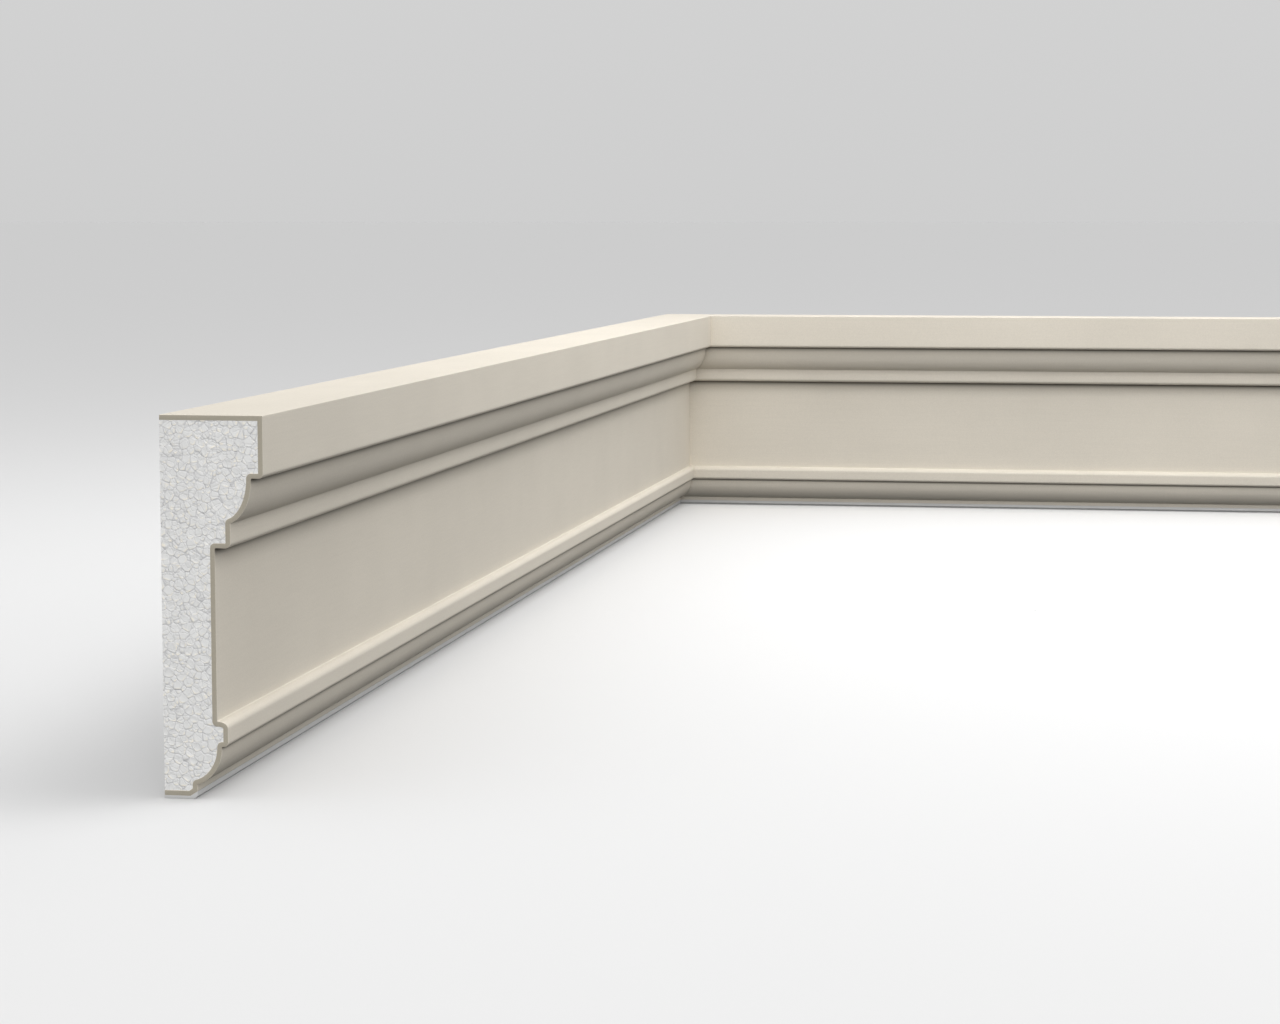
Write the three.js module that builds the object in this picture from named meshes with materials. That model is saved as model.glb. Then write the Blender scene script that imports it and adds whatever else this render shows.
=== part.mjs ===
// Coated foam facade moulding that turns the inside corner of two walls. Each run is a foam core with a mineral coat
// on its top, front and underside, on a thin base strip, and the two runs meet in a mitre in the corner.
// Millimetres, +Z up. The left run lies along Y, with its back facing -X, and comes forward to its cut end at -Y.
// The right run lies along X, with its back facing +Y, and ends at +X. The origin is under the middle of the
// bounding box, in the plane of the underside.
import * as THREE from "three";

// Length of each run at the wall, from the corner of the walls to its square-cut end
const leftRunLength = 2000;
const rightRunLength = 1000;

// Layers
const coatThickness = 3.2;
const stripThickness = 2;
const stripChamfer = 2;

// Members of the profile from the underside up. "Out" is how far a member's face steps out from the one below it.
const baseProjection = 21.3; // from the wall to the face of the lower fillet
const chamferOut = 4.5;
const chamferHeight = 3;
const lowerFilletHeight = 4.2;
const lowerOvoloOut = 16.1;
const lowerOvoloHeight = 23.9;
const beadOut = 4;
const beadHeight = 15.9;
const beadLowerRound = 3;
const beadShoulderOut = 6.4; // the bead's upper corner is rounded off as a quarter of an ellipse
const beadShoulderUp = 4.4;
const friezeSetback = 6.9; // from the face of the bead back to the flat frieze
const friezeHeight = 107.4;
const upperFilletOut = 9.9;
const upperFilletHeight = 15.4;
const upperFilletRound = 3.6;
const upperOvoloOut = 13.6;
const upperOvoloHeight = 27.8;
const fasciaOut = 7.6;
const fasciaHeight = 38.6;
const fasciaRound = 3;
const ovoloTurn = THREE.MathUtils.degToRad(77); // how much of a quarter turn each ovolo makes below its soffit

// Fineness of the curves
const ovoloSteps = 12;
const roundStep = THREE.MathUtils.degToRad(18);

// The coat's outer face as a row of corners, from the wall out along the underside, up the front and back to the
// wall along the top. A corner holds its point, x out from the wall and y up, and how far its rounding reaches back
// along the edge before it and on along the edge after it.
function coatOutline() {
  const corners = [{ point: new THREE.Vector2(0, stripThickness), before: 0, after: 0 }];
  const stepTo = (out, up, before = 0, after = before) => {
    const last = corners.at(-1).point;
    corners.push({ point: new THREE.Vector2(last.x + out, last.y + up), before, after });
  };
  // An ovolo is a stretch of an ellipse that ends upright under its soffit.
  const ovoloTo = (out, up) => {
    const foot = corners.at(-1).point;
    const radiusOut = out / (1 - Math.cos(ovoloTurn));
    const radiusUp = up / Math.sin(ovoloTurn);
    for (let i = 1; i <= ovoloSteps; i++) {
      const angle = ovoloTurn * (1 - i / ovoloSteps);
      const x = foot.x + out - radiusOut * (1 - Math.cos(angle));
      const y = foot.y + up - radiusUp * Math.sin(angle);
      corners.push({ point: new THREE.Vector2(x, y), before: 0, after: 0 });
    }
  };

  stepTo(baseProjection - chamferOut, 0);
  stepTo(chamferOut, chamferHeight);
  stepTo(0, lowerFilletHeight);
  ovoloTo(lowerOvoloOut, lowerOvoloHeight);
  stepTo(beadOut, 0, beadLowerRound);
  stepTo(0, beadHeight, beadShoulderUp, beadShoulderOut);
  stepTo(-friezeSetback, 0);
  stepTo(0, friezeHeight);
  stepTo(upperFilletOut, 0, upperFilletRound);
  stepTo(0, upperFilletHeight);
  ovoloTo(upperOvoloOut, upperOvoloHeight);
  stepTo(fasciaOut, 0, fasciaRound);
  stepTo(0, fasciaHeight);
  stepTo(-corners.at(-1).point.x, 0);
  return corners;
}

// Direction of each edge between two corners, and its normal on the left, where the material is
function edgesOf(corners) {
  return corners.slice(1).map((corner, i) => {
    const along = corner.point.clone().sub(corners[i].point);
    const length = along.length();
    along.normalize();
    return { along, length, inward: new THREE.Vector2(-along.y, along.x) };
  });
}

// Angle by which the outline turns from one edge to the next, positive on an outward corner
function turnBetween(before, after) {
  return Math.atan2(before.along.cross(after.along), before.along.dot(after.along));
}

// The outline moved a distance into the material. Outward corners stay corners, with a smaller rounding, and
// inward corners become arcs about the old corner, so the layer between has the same thickness everywhere.
function insetOutline(corners, distance) {
  const edges = edgesOf(corners);
  return corners.flatMap((corner, i) => {
    const edgeBefore = edges[i - 1] ?? edges[i];
    const edgeAfter = edges[i] ?? edges[i - 1];
    const turn = turnBetween(edgeBefore, edgeAfter);
    if (turn < 0) {
      const steps = Math.ceil(-turn / roundStep);
      return Array.from({ length: steps + 1 }, (_, k) => {
        const shift = edgeBefore.inward.clone().multiplyScalar(distance);
        shift.rotateAround(new THREE.Vector2(), (turn * k) / steps);
        return { point: shift.add(corner.point), before: 0, after: 0 };
      });
    }
    const shift = edgeBefore.inward.clone().add(edgeAfter.inward);
    shift.multiplyScalar(distance / (1 + edgeBefore.inward.dot(edgeAfter.inward)));
    const less = distance * Math.tan(turn / 2);
    const before = Math.max(corner.before - less, 0);
    const after = Math.max(corner.after - less, 0);
    return [{ point: shift.add(corner.point), before, after }];
  });
}

// Points of the outline with its corners rounded off. Where two roundings need more than the edge between them,
// each takes its share of that edge. A rounding is the arc that touches both edges, drawn for a reach of 1 as
// amounts of the two edges' directions, and then scaled by its reach along each.
function roundedPoints(corners) {
  const edges = edgesOf(corners);
  const share = edges.map(({ length }, i) => Math.min(1, length / (corners[i].after + corners[i + 1].before || 1)));
  return corners.flatMap(({ point, before, after }, i) => {
    if (before === 0 || after === 0) return [point];
    const turn = turnBetween(edges[i - 1], edges[i]);
    const radius = 1 / Math.tan(turn / 2);
    const steps = Math.ceil(turn / roundStep);
    return Array.from({ length: steps + 1 }, (_, k) => {
      const angle = (turn * k) / steps;
      const onward = (radius * (1 - Math.cos(angle))) / Math.sin(turn);
      const back = 1 - radius * Math.sin(angle) + onward * Math.cos(turn);
      return point
        .clone()
        .addScaledVector(edges[i - 1].along, -back * before * share[i - 1])
        .addScaledVector(edges[i].along, onward * after * share[i]);
    });
  });
}

// Section of the base strip: a plate whose front lip fills the coat's chamfer up to the lower fillet, flush with the
// fillet's face, and whose lower front edge is chamfered
function stripPoints() {
  return [
    new THREE.Vector2(0, 0),
    new THREE.Vector2(baseProjection - stripChamfer, 0),
    new THREE.Vector2(baseProjection, stripChamfer),
    new THREE.Vector2(baseProjection, stripThickness + chamferHeight),
    new THREE.Vector2(baseProjection - chamferOut, stripThickness),
    new THREE.Vector2(0, stripThickness),
  ];
}

// A section carried along one wall. The extrusion runs from 0 to 1, and its vertices are then laid out from the
// mitre, which is as far along the wall as it is out from it, to the square end.
function runGeometry(section, side, length) {
  const geometry = new THREE.ExtrudeGeometry(new THREE.Shape(section), { depth: 1, bevelEnabled: false });
  const position = geometry.getAttribute("position");
  const mitreEnd = side === "left" ? 0 : 1;
  for (let i = 0; i < position.count; i++) {
    const out = position.getX(i);
    const up = position.getY(i);
    const along = position.getZ(i) === mitreEnd ? out : length;
    if (side === "left") position.setXYZ(i, out, -along, up);
    else position.setXYZ(i, along, -out, up);
  }
  geometry.computeVertexNormals();
  return geometry;
}

const materials = {
  foam_core: new THREE.MeshStandardMaterial({ color: 0xe9e9e6, roughness: 0.85, metalness: 0 }),
  render_coat: new THREE.MeshStandardMaterial({ color: 0xd3cbbc, roughness: 0.9, metalness: 0 }),
  base_strip: new THREE.MeshStandardMaterial({ color: 0xb4b4b2, roughness: 0.7, metalness: 0 }),
};

// Two runs that share the corner of the walls as their own zero point
function moulding() {
  const outline = coatOutline();
  const coatFace = roundedPoints(outline);
  const foamFace = roundedPoints(insetOutline(outline, coatThickness));
  const sections = {
    foam_core: foamFace,
    render_coat: [...coatFace, ...foamFace.toReversed()],
    base_strip: stripPoints(),
  };
  const runs = { left: leftRunLength, right: rightRunLength };

  const group = new THREE.Group();
  for (const [side, length] of Object.entries(runs)) {
    for (const [layer, section] of Object.entries(sections)) {
      const mesh = new THREE.Mesh(runGeometry(section, side, length), materials[layer].clone());
      mesh.name = `${side}_${layer}`;
      group.add(mesh);
    }
  }
  group.position.set(-rightRunLength / 2, leftRunLength / 2, 0);
  return group;
}

export default moulding();
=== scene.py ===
import math

import bpy
import numpy as np
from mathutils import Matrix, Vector
from mathutils.geometry import delaunay_2d_cdt, tessellate_polygon


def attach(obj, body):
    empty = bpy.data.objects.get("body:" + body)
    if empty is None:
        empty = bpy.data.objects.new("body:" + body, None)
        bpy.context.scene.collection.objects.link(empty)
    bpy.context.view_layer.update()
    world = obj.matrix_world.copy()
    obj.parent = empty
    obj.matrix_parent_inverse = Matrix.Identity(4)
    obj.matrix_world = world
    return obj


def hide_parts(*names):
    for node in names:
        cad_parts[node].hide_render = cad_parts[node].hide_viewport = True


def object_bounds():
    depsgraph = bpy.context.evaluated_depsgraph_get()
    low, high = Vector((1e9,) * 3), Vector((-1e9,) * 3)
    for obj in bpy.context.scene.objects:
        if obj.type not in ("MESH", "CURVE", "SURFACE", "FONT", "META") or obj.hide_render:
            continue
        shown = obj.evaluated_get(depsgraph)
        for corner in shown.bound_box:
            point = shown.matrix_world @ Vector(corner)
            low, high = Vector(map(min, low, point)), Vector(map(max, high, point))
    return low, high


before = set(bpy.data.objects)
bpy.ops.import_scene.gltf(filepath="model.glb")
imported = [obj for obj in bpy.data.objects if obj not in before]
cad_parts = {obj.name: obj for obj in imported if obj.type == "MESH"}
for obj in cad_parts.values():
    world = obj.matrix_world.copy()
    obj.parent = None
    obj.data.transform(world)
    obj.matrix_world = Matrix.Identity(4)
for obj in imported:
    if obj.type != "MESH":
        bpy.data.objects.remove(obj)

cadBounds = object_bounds()
mm = 0.001  # the frame is in metres, and the sections are in millimetres
samePoint = 1e-4  # millimetres: points of a section closer than this are one point


# Profile shared by every piece of a run

# Members from the underside up. "Out" is how far a member's face steps out from the one below it.
profile = {
    "stripThickness": 2.0,
    "coatThickness": 3.2,
    "baseProjection": 21.3,
    "chamferOut": 4.5,
    "chamferHeight": 3.0,
    "lowerFilletHeight": 4.2,
    "lowerOvoloOut": 16.1,
    "lowerOvoloHeight": 23.9,
    "beadOut": 4.0,
    "beadHeight": 15.9,
    "beadLowerRound": 3.0,
    "beadShoulderOut": 6.4,  # the bead's upper corner is rounded off as a quarter of an ellipse
    "beadShoulderUp": 4.4,
    "friezeSetback": 6.9,
    "friezeHeight": 107.4,
    "upperFilletOut": 9.9,
    "upperFilletHeight": 15.4,
    "upperFilletRound": 3.6,
    "upperOvoloOut": 13.6,
    "upperOvoloHeight": 27.8,
    "fasciaOut": 7.6,
    "fasciaHeight": 38.6,
    "fasciaRound": 3.0,
    "ovoloTurn": math.radians(77),  # how much of a quarter turn an ovolo makes below its soffit
    "arris": 0.5,  # softening of the corners that have no rounding of their own
    "hollow": 0.7,  # render left in the inward corners by the template
    "shadeReach": 0.38,  # of a soffit's depth
    "facePitch": 1.0,  # between mesh points on the coat's face, close enough to draw the painted shade
    "ovoloSteps": 22,
    "roundStep": math.radians(11),
}


# A row of corners (out, up, reach before, reach after), the last two telling how far a corner's rounding goes
# back and on along its edges. Each member is a step from the corner before it. An ovolo is a stretch of an
# ellipse, out + a (cos angle - 1) and up - b sin angle, that ends upright under its soffit.
def coatCorners(p):
    corners = [(0.0, p["stripThickness"], 0.0, 0.0)]

    def stepTo(out, up, before=p["arris"], after=None):
        last = corners[-1]
        corners.append((last[0] + out, last[1] + up, before, before if after is None else after))

    def ovoloTo(out, up):
        foot = corners[-1]
        angle = np.linspace(p["ovoloTurn"], 0, p["ovoloSteps"] + 1)[1:]
        a = out / (1 - math.cos(p["ovoloTurn"]))
        b = up / math.sin(p["ovoloTurn"])
        x = foot[0] + out + a * (np.cos(angle) - 1)
        y = foot[1] + up - b * np.sin(angle)
        reach = [0.0] * (len(angle) - 1) + [p["hollow"]]
        corners.extend(zip(x.tolist(), y.tolist(), reach, reach))

    stepTo(p["baseProjection"] - p["chamferOut"], 0)
    stepTo(p["chamferOut"], p["chamferHeight"])
    stepTo(0, p["lowerFilletHeight"], p["hollow"])
    ovoloTo(p["lowerOvoloOut"], p["lowerOvoloHeight"])
    stepTo(p["beadOut"], 0, p["beadLowerRound"])
    stepTo(0, p["beadHeight"], p["beadShoulderUp"], p["beadShoulderOut"])
    stepTo(-p["friezeSetback"], 0, p["hollow"])
    stepTo(0, p["friezeHeight"], p["hollow"])
    stepTo(p["upperFilletOut"], 0, p["upperFilletRound"])
    stepTo(0, p["upperFilletHeight"], p["hollow"])
    ovoloTo(p["upperOvoloOut"], p["upperOvoloHeight"])
    stepTo(p["fasciaOut"], 0, p["fasciaRound"])
    stepTo(0, p["fasciaHeight"])
    stepTo(-corners[-1][0], 0, 0)
    return np.array(corners)


# Unit directions of the edges of a row of points, and their lengths
def edgesOf(points):
    edges = np.diff(points, axis=0)
    lengths = np.linalg.norm(edges, axis=1)
    return edges / lengths[:, None], lengths


# Normals of edges on their left, where the material is: (-y, x)
def inwardOf(directions):
    return np.stack([-directions[:, 1], directions[:, 0]], 1)


# Turn from one edge to the next, positive on an outward corner: the angle whose sine is their cross product
def turnsOf(directions):
    before, after = directions[:-1], directions[1:]
    cross = before[:, 0] * after[:, 1] - before[:, 1] * after[:, 0]
    return np.arctan2(cross, (before * after).sum(1))


# The row of corners moved a distance into the material. Outward corners move by distance (before + after) /
# (1 + before . after), of the two normals, and their reach shortens by distance tan(turn / 2). Inward corners
# become arcs about the old corner.
def insetCorners(corners, distance, p):
    directions, _ = edgesOf(corners[:, :2])
    inward = inwardOf(directions)
    rows = [[*(corners[0, :2] + inward[0] * distance), 0.0, 0.0]]
    for corner, turn, before, after in zip(corners[1:-1], turnsOf(directions), inward[:-1], inward[1:]):
        if turn < -p["roundStep"]:
            start = math.atan2(before[1], before[0])
            angle = start + np.linspace(0, turn, math.ceil(-turn / p["roundStep"]) + 1)
            arc = corner[:2] + distance * np.stack([np.cos(angle), np.sin(angle)], 1)
            rows.extend([x, y, 0.0, 0.0] for x, y in arc)
        else:
            place = corner[:2] + (before + after) * distance / (1 + before @ after)
            reach = np.maximum(corner[2:] - distance * math.tan(turn / 2), 0)
            rows.append([*place, *reach])
    rows.append([*(corners[-1, :2] + inward[-1] * distance), 0.0, 0.0])
    return np.array(rows)


# The row of points with its corners rounded: the arc that touches both edges, drawn for a reach of 1 as
# amounts of the two edges' directions, and scaled by its reach along each. With r = 1 / tan(turn / 2), the
# amounts are onward = r (1 - cos angle) / sin turn and back = 1 - r sin angle + onward cos turn. Two roundings
# that need more than the edge between them share that edge.
def roundedPoints(corners, p):
    directions, lengths = edgesOf(corners[:, :2])
    needed = np.maximum(corners[:-1, 3] + corners[1:, 2], samePoint)
    share = np.minimum(1, lengths / needed)
    rows = [corners[:1, :2]]
    for i, turn in enumerate(np.abs(turnsOf(directions))):
        place = corners[i + 1, :2]
        before = corners[i + 1, 2] * share[i]
        after = corners[i + 1, 3] * share[i + 1]
        if before == 0 or after == 0 or turn < p["roundStep"]:
            rows.append(place[None])
            continue
        angle = np.linspace(0, turn, math.ceil(turn / p["roundStep"]) + 1)[:, None]
        radius = 1 / math.tan(turn / 2)
        onward = radius * (1 - np.cos(angle)) / math.sin(turn)
        back = 1 - radius * np.sin(angle) + onward * math.cos(turn)
        rows.append(place - directions[i] * back * before + directions[i + 1] * onward * after)
    rows.append(corners[-1:, :2])
    points = np.concatenate(rows)
    apart = np.linalg.norm(np.diff(points, axis=0), axis=1) > samePoint
    return points[np.concatenate([[True], apart])]


# A closed loop with all its edges moved a distance into the material: each point goes along the mitre of its
# edges' normals, (before + after) / (1 + before . after)
def shrunkLoop(loop, distance):
    inward = inwardOf(edgesOf(np.concatenate([loop[-1:], loop, loop[:1]]))[0])
    before, after = inward[:-1], inward[1:]
    mitre = (before + after) / (1 + (before * after).sum(1))[:, None]
    return loop + mitre * distance


# Points along a row no more than a pitch apart
def finerRow(points, pitch):
    rows = []
    for start, end in zip(points[:-1], points[1:]):
        steps = max(1, math.ceil(np.linalg.norm(end - start) / pitch))
        rows.append(start + (end - start) * (np.arange(steps) / steps)[:, None])
    rows.append(points[-1:])
    return np.concatenate(rows)


# How much painted shade the points of the coat's face take: exp(-(distance / reach)^2) from the corner under
# each soffit, where the reach is a share of the soffit's depth
def paintedShadeAt(points, corners, p):
    paintedShade = np.zeros(len(points))
    steps = np.diff(corners[:, :2], axis=0)
    for corner, (out, up) in zip(corners[1:-1, :2], steps[1:]):
        if out > 0 and abs(up) < samePoint:
            away = np.linalg.norm(points - corner, axis=1)
            paintedShade = np.maximum(paintedShade, np.exp(-(away / (out * p["shadeReach"])) ** 2))
    return paintedShade


# The closed sections of the coat and the core, anticlockwise, as x out from the back and y up, and the coat's
# painted shade. The core's section is the coat's face moved in by the coat's thickness.
def sectionLoops(p):
    corners = coatCorners(p)
    coatFace = finerRow(roundedPoints(corners, p), p["facePitch"])
    foamFace = roundedPoints(insetCorners(corners, p["coatThickness"], p), p)
    return {
        "coat": np.concatenate([coatFace, foamFace[::-1]]),
        "coatShade": np.concatenate([paintedShadeAt(coatFace, corners, p), np.zeros(len(foamFace))]),
        "core": foamFace,
    }


# The two runs, each from the mitre, in the corner where their backs meet, to its square end

backCorner = Vector((cadBounds[0].x, cadBounds[1].y, 0.0))

# "Grain" is how much a pattern drawn along the run keeps of its scale along each axis.
runs = {
    "left": {"length": (cadBounds[1].y - cadBounds[0].y) / mm, "grain": (1.0, 0.03, 1.0)},
    "right": {"length": (cadBounds[1].x - cadBounds[0].x) / mm, "grain": (0.03, 1.0, 1.0)},
}


# Places section points in the frame: out from the back, along it from the corner, and up
def placed(side, out, along, up):
    if side == "left":
        x, y = out, -along
    else:
        x, y = along, -out
    return np.stack([x * mm + backCorner.x, y * mm + backCorner.y, up * mm], -1)


sharpAngle = math.radians(32)  # edges that turn more than this are shaded crisp


# Makes a mesh object at the origin from vertices, a list of face arrays and named values at the vertices. The
# right run is laid out as a mirror image, so its faces are turned back.
def makePiece(name, vertices, faceArrays, values, material, mirrored=False):
    if mirrored:
        faceArrays = [faces[:, ::-1] for faces in faceArrays]
    sizes = np.concatenate([np.full(len(faces), faces.shape[1]) for faces in faceArrays])
    corners = np.concatenate([faces.ravel() for faces in faceArrays])
    mesh = bpy.data.meshes.new(name)
    mesh.vertices.add(len(vertices))
    mesh.vertices.foreach_set("co", vertices.astype(np.float32).ravel())
    mesh.loops.add(len(corners))
    mesh.loops.foreach_set("vertex_index", corners.astype(np.int32))
    mesh.polygons.add(len(sizes))
    mesh.polygons.foreach_set("loop_start", (np.cumsum(sizes) - sizes).astype(np.int32))
    mesh.polygons.foreach_set("loop_total", sizes.astype(np.int32))
    mesh.update(calc_edges=True)
    mesh.validate()
    for key, value in values.items():
        layer = mesh.attributes.new(key, "FLOAT", "POINT")
        layer.data.foreach_set("value", value.astype(np.float32).ravel())
    mesh.shade_smooth()
    mesh.set_sharp_from_angle(angle=sharpAngle)
    mesh.materials.append(material)
    piece = bpy.data.objects.new(name, mesh)
    bpy.context.scene.collection.objects.link(piece)
    print(f"{name}: {len(vertices)} vertices, {len(mesh.polygons)} faces")
    return piece


# Quads between neighbouring rings of a tube, its rings closed, as indices ring * n + point
def tubeQuads(rings, n, first=0):
    i, j = np.meshgrid(np.arange(rings - 1), np.arange(n), indexing="ij")
    k = (j + 1) % n
    quads = np.stack([i * n + j, i * n + k, (i + 1) * n + k, (i + 1) * n + j], -1)
    return quads.reshape(-1, 4) + first


# Triangles that fill a flat closed loop, all turned the same way: the cross product of two sides is positive
def loopTriangles(loop):
    triangles = np.array(tessellate_polygon([[Vector((x, y, 0)) for x, y in loop.tolist()]]))
    a, b, c = (loop[triangles[:, k]] for k in range(3))
    ab, ac = b - a, c - a
    flipped = ab[:, 0] * ac[:, 1] - ab[:, 1] * ac[:, 0] < 0
    triangles[flipped] = triangles[flipped][:, ::-1]
    return triangles


# A section carried along a run. Station k is at along = mitreShare * out + distance, so the stations turn
# from the mitre's slant to square. The section shrinks by the arris at both ends, on a quarter circle.
def carriedSection(side, loop, settings):
    length = runs[side]["length"]
    arris, mitreArris = settings["endArris"], settings["mitreArris"]
    bend = np.radians([0, 30, 60, 90])
    even = np.linspace(0, 1, settings["stations"])[1:-1]
    mitreShare = np.concatenate([np.ones(len(bend)), 1 - even, np.zeros(len(bend))])
    distance = np.concatenate([
        mitreArris * (1 - np.cos(bend)),
        mitreArris + even * (length - mitreArris - arris),
        length - arris * (1 - np.cos(bend[::-1])),
    ])
    shrink = np.concatenate([
        mitreArris * (1 - np.sin(bend)),
        np.zeros(len(even)),
        arris * (1 - np.sin(bend[::-1])),
    ])
    section = np.stack([shrunkLoop(loop, inset) for inset in shrink])
    along = mitreShare[:, None] * section[:, :, 0] + distance[:, None]
    vertices = placed(side, section[:, :, 0], along, section[:, :, 1]).reshape(-1, 3)
    rings, n = section.shape[:2]
    cap = loopTriangles(section[-1])
    cut = np.zeros((rings, n))
    cut[-1] = 1
    return vertices, [tubeQuads(rings, n), cap[:, ::-1], cap + (rings - 1) * n], {"cutFace": cut}


# Hides the node that a finished piece shows, and attaches the piece to the root
def dress(piece, node):
    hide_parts(node)
    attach(piece, "root")


# Materials

# An sRGB hex colour turned linear: c / 12.92 in the darkest tones, and ((c + 0.055) / 1.055)^2.4 above them
def linear(hexColour):
    srgb = np.array([int(hexColour[i:i + 2], 16) for i in (1, 3, 5)]) / 255
    return (*np.where(srgb <= 0.04045, srgb / 12.92, ((srgb + 0.055) / 1.055) ** 2.4).tolist(), 1.0)


# Adds a node. An input is given a constant, or another node's output to be linked to.
def addNode(tree, kind, inputs, **settings):
    node = tree.nodes.new(kind)
    for key, value in settings.items():
        setattr(node, key, value)
    for key, value in inputs.items():
        if isinstance(value, bpy.types.NodeSocket):
            tree.links.new(value, node.inputs[key])
        else:
            node.inputs[key].default_value = value
    return node


# A material with one shader, and the position on the object for its patterns
def newMaterial(name, s):
    material = bpy.data.materials.new(name)
    material.use_nodes = True
    tree = material.node_tree
    tree.nodes.clear()
    shader = addNode(tree, "ShaderNodeBsdfPrincipled", {
        "Roughness": s["roughness"], "Specular IOR Level": s["specular"], "IOR": 1.5,
    })
    addNode(tree, "ShaderNodeOutputMaterial", {"Surface": shader.outputs["BSDF"]})
    where = addNode(tree, "ShaderNodeTexCoord", {}).outputs["Object"]
    return material, tree, shader, where


def noise(tree, where, size, detail, roughness=0.5):
    return addNode(tree, "ShaderNodeTexNoise", {
        "Vector": where, "Scale": 1 / size, "Detail": detail, "Roughness": roughness,
    }).outputs["Fac"]


def attribute(tree, name):
    return addNode(tree, "ShaderNodeAttribute", {}, attribute_name=name).outputs["Fac"]


# Values from low to high as a factor from 1 - strength to 1 + strength
def toneFactor(tree, value, low, high, strength):
    return addNode(tree, "ShaderNodeMapRange", {
        "Value": value, "From Min": low, "From Max": high, "To Min": 1 - strength, "To Max": 1 + strength,
    }).outputs["Result"]


def product(tree, first, second):
    return addNode(tree, "ShaderNodeMath", {0: first, 1: second}, operation="MULTIPLY").outputs[0]


# A mix node's inputs and output are told apart by number: A, B and the result, for each kind of value
def mixColour(tree, share, first, second):
    return addNode(tree, "ShaderNodeMix", {0: share, 6: first, 7: second}, data_type="RGBA").outputs[2]


def mixValue(tree, share, first, second):
    return addNode(tree, "ShaderNodeMix", {0: share, 2: first, 3: second}, data_type="FLOAT").outputs[0]


# The base colour is a colour times a tone
def setColour(tree, shader, colour, tone):
    shaded = addNode(tree, "ShaderNodeVectorMath", {0: colour, "Scale": tone}, operation="SCALE")
    tree.links.new(shaded.outputs[0], shader.inputs["Base Color"])


# Silicate mineral render, drawn along the foam with a template and left matt: an even beige with a fine sand
# grain, faint clouds from drying and faint lines along the run. Painted shade draws a dark line in the corner
# under each soffit, where its shadow falls. The cut edge shows the darker raw mortar.
renderFinish = {
    "colour": "#D4CDC0",
    "mortar": "#ADA697",
    "paintedShade": "#4E4941",
    "shadeCover": 0.92,
    "roughness": 0.88,
    "specular": 0.35,
    "grain": 1.1 * mm,  # real sand is 0.2 to 0.5 mm, drawn coarser so that it shows
    "cloud": 130 * mm,
    "line": 1.6 * mm,
    "grainTone": 0.05,
    "cloudTone": 0.03,
    "lineTone": 0.012,
    "noiseRange": (0.25, 0.75),
    "grainDepth": 0.05 * mm,
    "lineDepth": 0.015 * mm,
}


def mineralRender(side, s):
    material, tree, shader, where = newMaterial(f"mineral_render_{side}", s)
    stretched = addNode(tree, "ShaderNodeMapping", {"Vector": where, "Scale": runs[side]["grain"]})
    grain = noise(tree, where, s["grain"], 2.5, 0.6)
    cloud = noise(tree, where, s["cloud"], 3.0)
    lines = noise(tree, stretched.outputs["Vector"], s["line"], 1.5)
    grainTone = toneFactor(tree, grain, *s["noiseRange"], s["grainTone"])
    cloudTone = toneFactor(tree, cloud, *s["noiseRange"], s["cloudTone"])
    lineTone = toneFactor(tree, lines, *s["noiseRange"], s["lineTone"])
    tone = product(tree, product(tree, grainTone, cloudTone), lineTone)
    # Painted shade: the corner under each soffit is painted darker, towards the shade colour
    shadeShare = product(tree, attribute(tree, "paintedShade"), s["shadeCover"])
    face = mixColour(tree, shadeShare, linear(s["colour"]), linear(s["paintedShade"]))
    setColour(tree, shader, mixColour(tree, attribute(tree, "cutFace"), face, linear(s["mortar"])), tone)
    grainBump = addNode(tree, "ShaderNodeBump", {
        "Height": grain, "Strength": 1.0, "Distance": s["grainDepth"],
    })
    lineBump = addNode(tree, "ShaderNodeBump", {
        "Height": lines, "Strength": 1.0, "Distance": s["lineDepth"], "Normal": grainBump.outputs["Normal"],
    })
    tree.links.new(lineBump.outputs["Normal"], shader.inputs["Normal"])
    return material


# Expanded polystyrene, block moulded and sawn with a hot wire: white beads 2 to 6 mm across, with grey seams
# between them and cream painted highlights on the rims that face the light. On the cut ends the seams and the
# painted highlights come from the mesh. On the back the seams come from a texture, and the highlights are left
# out.
foamFinish = {
    "bead": "#EDEDEC",
    "seam": "#CDCDCE",
    "paintedHighlight": "#FFF8E8",
    "roughness": 0.55,
    "specular": 0.4,
    "beadSize": 5.0 * mm,
    "beadTone": 0.03,
    "seamWidth": 0.35 * mm,
    "seamDepth": 0.2 * mm,
    "seamShare": 0.75,  # how much of the seam's colour the texture has in the middle of a seam
}


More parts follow.
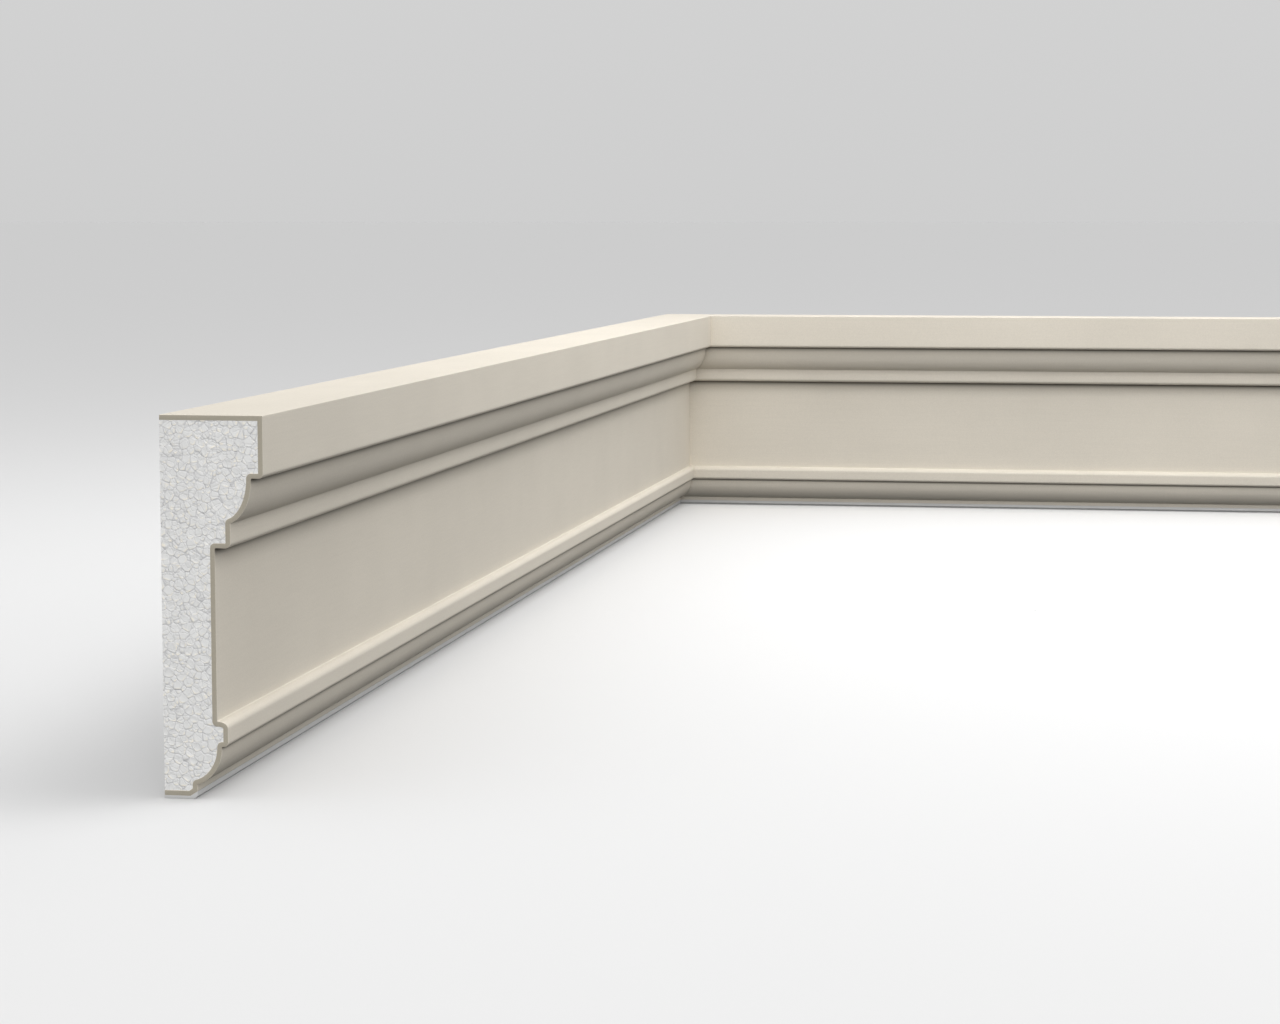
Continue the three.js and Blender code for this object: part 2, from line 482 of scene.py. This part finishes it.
def polystyreneFoam(s):
    material, tree, shader, where = newMaterial("expanded_polystyrene", s)
    cells = {"Vector": where, "Scale": 1 / s["beadSize"]}
    wall = addNode(tree, "ShaderNodeTexVoronoi", cells, feature="DISTANCE_TO_EDGE").outputs["Distance"]
    bead = addNode(tree, "ShaderNodeTexVoronoi", cells, feature="F1").outputs["Color"]
    seam = addNode(tree, "ShaderNodeMapRange", {
        "Value": wall, "From Max": s["seamWidth"] / s["beadSize"], "To Min": s["seamShare"], "To Max": 0.0,
    }).outputs["Result"]
    sawnEnd = attribute(tree, "sawnEnd")
    seamHere = mixValue(tree, sawnEnd, seam, attribute(tree, "seam"))
    beadNumber = addNode(tree, "ShaderNodeSeparateColor", {"Color": bead}).outputs["Red"]
    toneHere = mixValue(tree, sawnEnd, beadNumber, attribute(tree, "beadTone"))
    # Painted highlight: the rims that face the light are painted a brighter cream
    lit = mixColour(tree, attribute(tree, "paintedHighlight"), linear(s["bead"]), linear(s["paintedHighlight"]))
    colour = mixColour(tree, seamHere, lit, linear(s["seam"]))
    setColour(tree, shader, colour, toneFactor(tree, toneHere, 0.0, 1.0, s["beadTone"]))
    bump = addNode(tree, "ShaderNodeBump", {
        "Height": seam, "Strength": 1.0, "Distance": s["seamDepth"],
    }, invert=True)
    tree.links.new(bump.outputs["Normal"], shader.inputs["Normal"])
    return material


# Extruded PVC base strip, matt grey, with a faint cloudiness. Its sawn ends are a little darker, as the saw
# roughens them, and as painted light the faces, which sit in the coat's shade, are kept lighter than the ends.
stripFinish = {
    "colour": "#CDCDCC",
    "sawn": "#C6C6C5",
    "roughness": 0.5,
    "specular": 0.4,
    "cloud": 25 * mm,
    "cloudTone": 0.03,
    "noiseRange": (0.3, 0.7),
}


def matteStrip(s):
    material, tree, shader, where = newMaterial("matt_grey_strip", s)
    tone = toneFactor(tree, noise(tree, where, s["cloud"], 4.0), *s["noiseRange"], s["cloudTone"])
    # Two tones: the sawn ends darker partly from saw roughening and partly as painted light that keeps the
    # shaded faces lighter
    colour = mixColour(tree, attribute(tree, "cutFace"), linear(s["colour"]), linear(s["sawn"]))
    setColour(tree, shader, colour, tone)
    return material


# Coats: the render on the top, front and underside of each run

coat = {"stations": 60, "endArris": 0.25, "mitreArris": 0.12}


def makeCoat(side, loop, paintedShade):
    vertices, faces, values = carriedSection(side, loop, coat)
    # The painted shade of the section goes on every ring of the coat
    values["paintedShade"] = np.tile(paintedShade, len(values["cutFace"]))
    material = mineralRender(side, renderFinish)
    piece = makePiece(f"{side}_coat", vertices, faces, values, material, side == "right")
    dress(piece, f"{side}_render_coat")


# Cores: foam with its beads in relief on the sawn end

core = {
    "pitch": 0.3,  # between mesh points at the seams
    "rowSpacing": 0.866,  # of the pitch, for triangles with equal sides
    "borderClearance": 0.55,  # of the pitch, from the section's own points to the grid
    "plainStep": 3,  # one mesh point in so many each way is kept where a bead is flat
    "plainFrom": 0.8,
    "seed": {"left": 11, "right": 12},
    "largestBead": 2.9,  # radius
    "smallestBead": 1.1,
    "tries": 14000,
    "closeness": 0.86,  # beads are squeezed together, so their centres are closer than their radii add up to
    "cutReach": 0.8,  # a bead that ends further than this from the cut leaves no mark on it
    "seamWidth": 0.24,
    "seamDepth": 0.22,
    "faintSeam": 0.4,  # the faintest seam, as a share of the darkest
    "pitWidth": 0.4,
    "pitDepth": 0.2,
    "cupWidth": 0.8,
    "cupDepth": 0.36,
    "highlightFrom": 0.5,
    "highlightWidth": 0.28,
    "highlightSide": math.radians(-70),  # the lower edge of a bead, where a shallow cup faces up to the light and its rim is painted bright
    "highlightSpread": math.radians(40),
    "leastHighlight": 0.2,
    "smallBeadHighlight": 0.5,  # small beads get a stronger painted highlight
    "proud": 0.25,
    "headRelief": 0.75,  # the wire tears the foam more towards the foot of the cut
    "footRelief": 1.25,
    "markReach": 2.5,  # the marks of the sawn end fade out over this last stretch of the sides
}
cutBatch = 4000  # points that are set against all the beads at a time


# Packs beads about the plane of the cut. From the largest to the smallest they drop at random places, and a
# bead stays where its centre is at least closeness * (radius + the other's radius) from every bead already
# there. Returns rows of centre and radius.
def beadPacking(low, high, s, seed):
    rng = np.random.default_rng(seed)
    radii = np.linspace(s["largestBead"], s["smallestBead"], s["tries"])
    margin = s["largestBead"]
    least = (low[0] - margin, low[1] - margin, -margin)
    most = (high[0] + margin, high[1] + margin, margin)
    places = rng.uniform(least, most, (s["tries"], 3))
    beads = np.zeros((s["tries"], 4))
    count = 0
    for place, radius in zip(places, radii):
        spacing = np.linalg.norm(beads[:count, :3] - place, axis=1)
        if np.all(spacing > s["closeness"] * (beads[:count, 3] + radius)):
            beads[count] = (*place, radius)
            count += 1
    return beads[:count]


# Cuts the packing with a plane. A point belongs to the bead whose surface is nearest, distance - radius, and
# the wall to the next bead is where both are equally far, so it curves round the smaller one. Returns each
# point's bead and the bead behind its nearest wall, and its distance to that wall and to the nearest corner
# of three beads.
def beadCut(points, beads):
    order = np.empty((len(points), 3), int)
    nearest = np.empty((len(points), 3))
    for start in range(0, len(points), cutBatch):
        part = slice(start, start + cutBatch)
        x, y = points[part, :1], points[part, 1:]
        away = np.sqrt((x - beads[:, 0]) ** 2 + (y - beads[:, 1]) ** 2 + beads[:, 2] ** 2) - beads[:, 3]
        few = np.argpartition(away, 2, axis=1)[:, :3]
        some = np.take_along_axis(away, few, 1)
        rank = some.argsort(1)
        order[part] = np.take_along_axis(few, rank, 1)
        nearest[part] = np.take_along_axis(some, rank, 1)
    wall, corner = ((nearest[:, k] - nearest[:, 0]) / 2 for k in (1, 2))
    return order[:, 0], order[:, 1], wall, corner


# True for points inside a closed loop, by counting the edges above each point
def insideLoop(points, loop):
    inside = np.zeros(len(points), bool)
    x, y = points[:, 0], points[:, 1]
    for (x1, y1), (x2, y2) in zip(loop, np.roll(loop, -1, 0)):
        if x1 != x2:
            crossed = ((x1 > x) != (x2 > x)) & (y < (y2 - y1) * (x - x1) / (x2 - x1) + y1)
            inside ^= crossed
    return inside


# Triangles over a closed loop and the points inside it
def filledLoop(border, inner):
    coords = [Vector(p) for p in np.concatenate([border, inner]).tolist()]
    edges = [(i, (i + 1) % len(border)) for i in range(len(border))]
    insideOnly, precision = 1, 1e-7
    points, _, faces, *_ = delaunay_2d_cdt(coords, edges, [], insideOnly, precision)
    assert len(points) == len(coords)
    return np.array(faces)


# Mesh points of the sawn end, those on its border first: a grid of triangles with equal sides, thinned out
# where a bead is flat. Returns them, how many are on the border, and what beadCut says of each.
def sawnPoints(loop, beads, s):
    border = finerRow(np.concatenate([loop, loop[:1]]), s["pitch"])[:-1]
    low, high = loop.min(0), loop.max(0)
    x, y = np.meshgrid(
        np.arange(low[0], high[0], s["pitch"]),
        np.arange(low[1], high[1], s["pitch"] * s["rowSpacing"]),
    )
    x[1::2] += s["pitch"] / 2
    plain = np.zeros(x.shape, bool)
    plain[::s["plainStep"], ::s["plainStep"]] = True
    grid = np.stack([x.ravel(), y.ravel()], 1)
    inside = insideLoop(grid, shrunkLoop(loop, s["pitch"] * s["borderClearance"]))
    points = np.concatenate([border, grid[inside]])
    plain = np.concatenate([np.ones(len(border), bool), plain.ravel()[inside]])
    cut = beadCut(points, beads)
    kept = plain | (cut[2] < s["plainFrom"])
    return points[kept], len(border), [values[kept] for values in cut]


# How far the points of the sawn end lie behind the plane of the cut, and their marks. Each bead has its own
# height and is a shallow cup, some deeper than others, with a seam at its walls, a pit where three beads meet
# and a painted highlight on the rim on the side where the light falls into the cup. Seam and pit are
# exp(-(distance / width)^2) from the wall and the corner, the cup is 1 less that of the wall, and the painted
# highlight is exp(-((wall - from) / width)^2) times the squared cosine of the angle from its side.
def sawnRelief(points, beads, cut, s, seed):
    owner, other, wall, corner = cut
    rng = np.random.default_rng(seed)
    tone, hollow, crack = rng.uniform(0, 1, (3, len(beads)))
    highlightSide = s["highlightSide"] + s["highlightSpread"] * rng.normal(0, 1, len(beads))
    highlightStrength = rng.uniform(s["leastHighlight"], 1, len(beads))
    highlightStrength = np.clip(highlightStrength + s["smallBeadHighlight"] * (1 - beads[:, 3] / s["largestBead"]), 0, 1)
    up = points[:, 1] - points[:, 1].min()
    relief = s["footRelief"] + (s["headRelief"] - s["footRelief"]) * up / up.max()
    darkness = s["faintSeam"] + (1 - s["faintSeam"]) * ((crack[owner] + crack[other]) % 1)
    seam = np.exp(-(wall / s["seamWidth"]) ** 2) * darkness
    recess = (
        relief * s["seamDepth"] * seam
        + relief * s["pitDepth"] * np.exp(-(corner / s["pitWidth"]) ** 2)
        + relief * s["cupDepth"] * hollow[owner] * (1 - np.exp(-(wall / s["cupWidth"]) ** 2))
        + s["proud"] * tone[owner]
    )
    outward = points - beads[owner, :2]
    facing = np.clip(np.cos(np.arctan2(outward[:, 1], outward[:, 0]) - highlightSide[owner]), 0, 1) ** 2
    # The painted highlight: brighter cream painted on the rim on the side that faces the light
    paintedHighlight = highlightStrength[owner] * facing * np.exp(-((wall - s["highlightFrom"]) / s["highlightWidth"]) ** 2)
    return recess, {"sawnEnd": np.ones(len(points)), "seam": seam, "paintedHighlight": paintedHighlight, "beadTone": tone[owner]}


# The vertices are the sawn end's, then a ring at the mitre and a ring a little behind the sawn end
def makeCore(side, loop, material):
    s, seed, length = core, core["seed"][side], runs[side]["length"]
    beads = beadPacking(loop.min(0), loop.max(0), s, seed)
    beads = beads[np.abs(beads[:, 2]) < beads[:, 3] + s["cutReach"]]
    points, n, cut = sawnPoints(loop, beads, s)
    recess, marks = sawnRelief(points, beads, cut, s, seed)
    border, inner, total = points[:n], points[n:], len(points)
    sawn = placed(side, points[:, 0], length - recess, points[:, 1])
    mitre = placed(side, border[:, 0], border[:, 0], border[:, 1])
    plainRing = placed(side, border[:, 0], np.full(n, length - s["markReach"]), border[:, 1])
    vertices = np.concatenate([sawn, mitre, plainRing])
    values = {key: np.concatenate([mark, np.zeros(2 * n)]) for key, mark in marks.items()}
    i = np.arange(n)
    k = (i + 1) % n
    faces = [
        tubeQuads(2, n, total),
        np.stack([i + total + n, k + total + n, k, i], 1),
        filledLoop(border, inner),
        filledLoop(border, inner[:0])[:, ::-1] + total,
    ]
    piece = makePiece(f"{side}_core", vertices, faces, values, material, side == "right")
    print(f"{side}_core: {len(beads)} beads about the cut")
    dress(piece, f"{side}_foam_core")


# Base strips: a plate whose front lip fills the coat's chamfer up to the lower fillet, and whose lower front
# edge is chamfered

strip = {"chamfer": 2.0, "stations": 12, "endArris": 0.2, "mitreArris": 0.05}


def makeStrip(side, material):
    width, thickness = profile["baseProjection"], profile["stripThickness"]
    loop = np.array([
        (0, 0),
        (width - strip["chamfer"], 0),
        (width, strip["chamfer"]),
        (width, thickness + profile["chamferHeight"]),
        (width - profile["chamferOut"], thickness),
        (0, thickness),
    ])
    piece = makePiece(f"{side}_strip", *carriedSection(side, loop, strip), material, side == "right")
    dress(piece, f"{side}_base_strip")


sections = sectionLoops(profile)
foamMaterial = polystyreneFoam(foamFinish)
stripMaterial = matteStrip(stripFinish)
for side in runs:
    makeCoat(side, sections["coat"], sections["coatShade"])
    makeCore(side, sections["core"], foamMaterial)
    makeStrip(side, stripMaterial)


# Studio: a pale floor out to the horizon, under a soft white dome that is brightest overhead and dim below

studio = {
    "floor": "#DFDFDF",
    "roughness": 0.9,
    "specular": 0.1,
    "floorRadii": (0.001, 3.0, 400.0),
    "floorSides": 64,
    "horizon": 0.62,
    "zenith": 0.92,
    "below": 0.06,
    "belowFrom": -0.06,  # sine of the angle under the horizon where the dome is dimmest
}


# The floor takes shadows, and bounces no light back up under the members
def makeFloor(s):
    turn = np.linspace(0, 2 * math.pi, s["floorSides"], endpoint=False)
    radius = np.array(s["floorRadii"])[:, None]
    rings = np.stack([radius * np.cos(turn), radius * np.sin(turn), 0 * radius * turn], -1)
    material, _, shader, _ = newMaterial("studio_paper", s)
    shader.inputs["Base Color"].default_value = linear(s["floor"])
    faces = tubeQuads(len(radius), len(turn))[:, ::-1]
    floor = makePiece("studio_floor", rings.reshape(-1, 3), [faces], {}, material)
    floor.visible_diffuse = False
    floor.visible_shadow = False


# Above the horizon the strength rises evenly with the sine of the height, as in an overcast sky
def makeDome(s):
    world = bpy.data.worlds.new("soft_white")
    world.use_nodes = True
    tree = world.node_tree
    tree.nodes.clear()
    direction = addNode(tree, "ShaderNodeTexCoord", {}).outputs["Generated"]
    height = addNode(tree, "ShaderNodeSeparateXYZ", {"Vector": direction}).outputs["Z"]
    above = addNode(tree, "ShaderNodeMapRange", {
        "Value": height, "To Min": s["horizon"], "To Max": s["zenith"],
    }).outputs["Result"]
    dimming = addNode(tree, "ShaderNodeMapRange", {
        "Value": height, "From Min": s["belowFrom"], "From Max": 0.0,
    }, interpolation_type="SMOOTHSTEP").outputs["Result"]
    background = addNode(tree, "ShaderNodeBackground", {
        "Color": (1.0, 1.0, 1.0, 1.0), "Strength": mixValue(tree, dimming, s["below"], above),
    })
    addNode(tree, "ShaderNodeOutputWorld", {"Surface": background.outputs["Background"]})
    bpy.context.scene.world = world


# One soft area light aimed at a point, hidden from the camera
def softLight(name, place, aim, size, power):
    light = bpy.data.lights.new(name, "AREA")
    light.shape = "RECTANGLE"
    light.size, light.size_y = size
    light.energy = power
    lamp = bpy.data.objects.new(name, light)
    lamp.location = place
    lamp.rotation_euler = (Vector(aim) - Vector(place)).to_track_quat("-Z", "Y").to_euler()
    lamp.visible_camera = False
    bpy.context.scene.collection.objects.link(lamp)


lights = {
    "diagonal": {"place": (0.6, -0.25, 1.9), "aim": (-0.3, 0.6, 0.1), "size": (1.2, 1.2), "power": 16.8},
    "corner": {"place": (0.0, 0.5, 1.3), "aim": (-0.35, 0.85, 0.1), "size": (0.9, 0.9), "power": 5.8},
    "low": {"place": (1.5, 0.8, 0.75), "aim": (-0.45, 0.75, 0.15), "size": (0.8, 0.8), "power": 2},
    "side": {"place": (5.0, -1.0, 2.5), "aim": (-0.3, 0.4, 0.1), "size": (2.5, 2.5), "power": 30},
    "front": {"place": (0.6, -6.0, 1.6), "aim": (-0.1, 0.4, 0.1), "size": (3.0, 2.0), "power": 120},
}
makeFloor(studio)
makeDome(studio)
for name, light in lights.items():
    softLight(name, **light)
bpy.context.scene.view_settings.view_transform = "Standard"
print(f"studio: floor, dome and {len(lights)} lights")


# Camera at the photograph's angle, found from the perspective of the moulding's own lines

camera = {
    "lens": 84.8,
    "sensorWidth": 36.0,
    "fromCorner": (0.5938, -3.7702, 0.3572),
    "turn": math.radians(9.462),
    "tilt": math.radians(5.542),
}
lens = bpy.data.cameras.new("photo_camera")
lens.sensor_fit = "HORIZONTAL"
lens.sensor_width = camera["sensorWidth"]
lens.lens = camera["lens"]
eye = bpy.data.objects.new("photo_camera", lens)
eye.location = backCorner + Vector(camera["fromCorner"])
eye.rotation_euler = (math.pi / 2 - camera["tilt"], 0.0, camera["turn"])
bpy.context.scene.collection.objects.link(eye)
bpy.context.scene.camera = eye
print(f"camera: {camera['lens']} mm lens")
